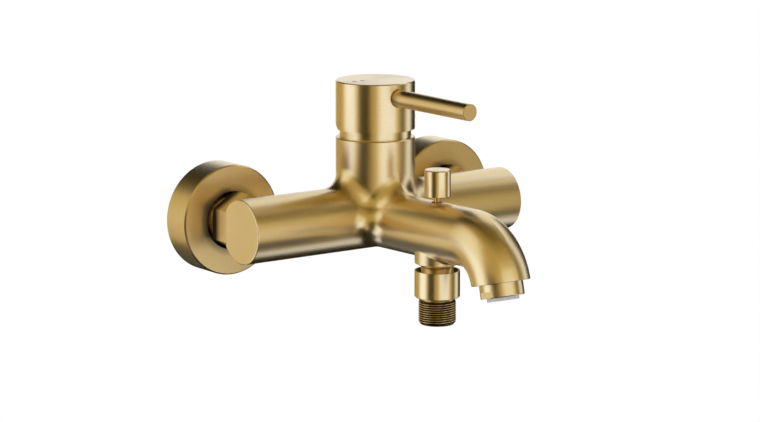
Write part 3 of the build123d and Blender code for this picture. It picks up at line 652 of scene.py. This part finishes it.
inlet_reach = 75 * mm
wall_thread_drop = 6 * mm
for side, hand in (("left", -1), ("right", 1)):
    wall_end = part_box(f"{side}_s_union")[1].y
    threaded_piece(
        f"{side}_threaded_union",
        f"{side}_s_union",
        Vector((hand * inlet_reach, wall_end, -wall_thread_drop)),
        outwards,
        wall_thread,
        finishes["raw_brass"],
    )


# Springs: each stands in as a joined copy of its wire


def seated_spring(node):
    """A copy of a spring's wire in steel, with a mesh of its own."""
    piece = stand_in(f"seated_{node}", node, merged(node), finishes["steel"])
    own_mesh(piece)


for joint in frame["record"]["behaviour"]["joints"]:
    for spring in joint.get("deforming_nodes", ()):
        seated_spring(spring["node"])


# Studio: a plain white room, and panels round the object that only its gloss sees

towards_camera = -Vector((*view_direction.xy, 0)).normalized()
camera_right = view_direction.cross(up).normalized()
object_centre = (cad_box[0] + cad_box[1]) / 2


def direction(azimuth, elevation):
    """Azimuth 0 points at the camera and 90 to its right; both angles in degrees."""
    flat = math.cos(math.radians(elevation))
    return (
        towards_camera * flat * math.cos(math.radians(azimuth))
        + camera_right * flat * math.sin(math.radians(azimuth))
        + up * math.sin(math.radians(elevation))
    )


def panel(name, azimuths, elevations, shade, distance):
    """A piece of a sphere round the object, glowing with one plain shade."""
    step = 6
    width = azimuths[1] - azimuths[0]
    height = elevations[1] - elevations[0]
    columns = max(1, round(width / step))
    rows = max(1, round(height / step))
    shape = bmesh.new()

    def corner(column, row):
        azimuth = azimuths[0] + width * column / columns
        elevation = elevations[0] + height * row / rows
        return shape.verts.new(object_centre + distance * direction(azimuth, elevation))

    corners = [[corner(column, row) for column in range(columns + 1)] for row in range(rows + 1)]
    for lower, higher in zip(corners, corners[1:]):
        for k in range(columns):
            shape.faces.new((lower[k], lower[k + 1], higher[k + 1], higher[k]))
    mesh = bpy.data.meshes.new(name)
    shape.to_mesh(mesh)
    shape.free()
    material, tree = new_finish(name)
    glow = tree.add("ShaderNodeEmission", sockets={"Color": (*shade, 1), "Strength": 1.0})
    tree.add("ShaderNodeOutputMaterial", sockets={"Surface": glow})
    material.cycles.emission_sampling = "NONE"
    mesh.materials.append(material)
    made = placed(name, mesh)
    made.visible_camera = False
    made.visible_diffuse = False
    made.visible_shadow = False
    made.visible_transmission = False


def reflector(level):
    """A reflector's shade: nearly white when bright, brown when dark."""
    return (level, level * (0.70 + 0.25 * level**2), level * (0.14 + 0.6 * level**2))


def softbox(level):
    """A softbox's shade, a little cool beside the reflectors."""
    return (level, 1.12 * level, 1.48 * level)


# Each panel's azimuths and elevations in degrees, its shade, and its distance in metres; the
# nearer ones stand in front of the others
far, near, core, nearest = 3.0, 2.6, 2.45, 2.3
panel("tent", (-160, 150), (-28, 52), reflector(0.5), far)
panel("high_tent", (-160, 150), (52, 66), reflector(0.34), far)
panel("roof", (-180, 180), (66, 90), reflector(0.14), far)
panel("ground", (-180, 180), (-90, -28), reflector(0.01), far)
panel("back_ground", (150, 210), (-28, -10), reflector(0.01), far)
panel("backdrop", (150, 205), (-10, 66), (0.95, 0.95, 0.92), far)
panel("left_frame", (-108, -52), (-61, 50), reflector(0.8), near)
panel("left_softbox", (-98, -61), (-58, 6), softbox(1.17), core)
panel("left_high_softbox", (-98, -61), (6, 43), (1.0, 1.02, 1.04), core)
panel("right_frame", (4, 67), (-28, 31), reflector(0.9), near)
panel("right_softbox", (12, 60), (-25, 3), softbox(1.17), core)
panel("right_high_softbox", (12, 60), (3, 24), (0.93, 0.93, 0.9), core)
panel("side_frame", (97, 125), (-68, 54), reflector(0.75), near)
panel("side_softbox", (104, 122), (-66, 48), softbox(0.95), core)
panel("high_softbox", (124, 152), (38, 54), softbox(1.1), near)
panel("low_softbox", (124, 140), (-62, -45), softbox(0.7), near)
panel("low_left_softbox", (-152, -116), (-60, -45), softbox(0.9), near)
panel("front_ground", (-16, 4), (-46, -27), reflector(0.8), near)
panel("left_flag", (-50, -15), (-28, 10), reflector(0.0), core)
panel("right_flag", (79, 96), (-30, 28), reflector(0.08), near)
panel("right_high_flag", (73, 96), (28, 64), reflector(0.08), near)
panel("far_right_flag", (126, 162), (-34, 29), reflector(0.0), nearest)
panel("back_left_flag", (-177, -115), (21, 80), reflector(0.0), nearest)
panel("corner_flag", (-115, -102), (46, 80), reflector(0.0), nearest)

world = bpy.data.worlds.new("white_room")
world.use_nodes = True
room = Tree(world.node_tree)
white = (1, 1, 1, 1)
sky = room.add("ShaderNodeBackground", sockets={"Color": white, "Strength": 1.0})
room.add("ShaderNodeOutputWorld", sockets={"Surface": sky})
world.cycles.sampling_method = "NONE"
scene.world = world

floor_drop = 0.35
floor_radius = 0.75
floor_shape = bmesh.new()
bmesh.ops.create_circle(
    floor_shape,
    cap_ends=True,
    segments=64,
    radius=floor_radius,
    matrix=Matrix.Translation((object_centre.x, object_centre.y, -floor_drop)),
)
floor_mesh = bpy.data.meshes.new("floor")
floor_shape.to_mesh(floor_mesh)
floor_shape.free()
floor_finish, floor_tree = new_finish("floor")
matt = floor_tree.add("ShaderNodeBsdfDiffuse", sockets={"Color": white, "Roughness": 0.5})
clear = floor_tree.add("ShaderNodeBsdfTransparent")
from_below = floor_tree.add("ShaderNodeNewGeometry", output="Backfacing")
one_sided = floor_tree.add("ShaderNodeMixShader", sockets={0: from_below, 1: matt, 2: clear})
floor_tree.add("ShaderNodeOutputMaterial", sockets={"Surface": one_sided})
floor_mesh.materials.append(floor_finish)
floor = placed("floor", floor_mesh)
floor.visible_glossy = False
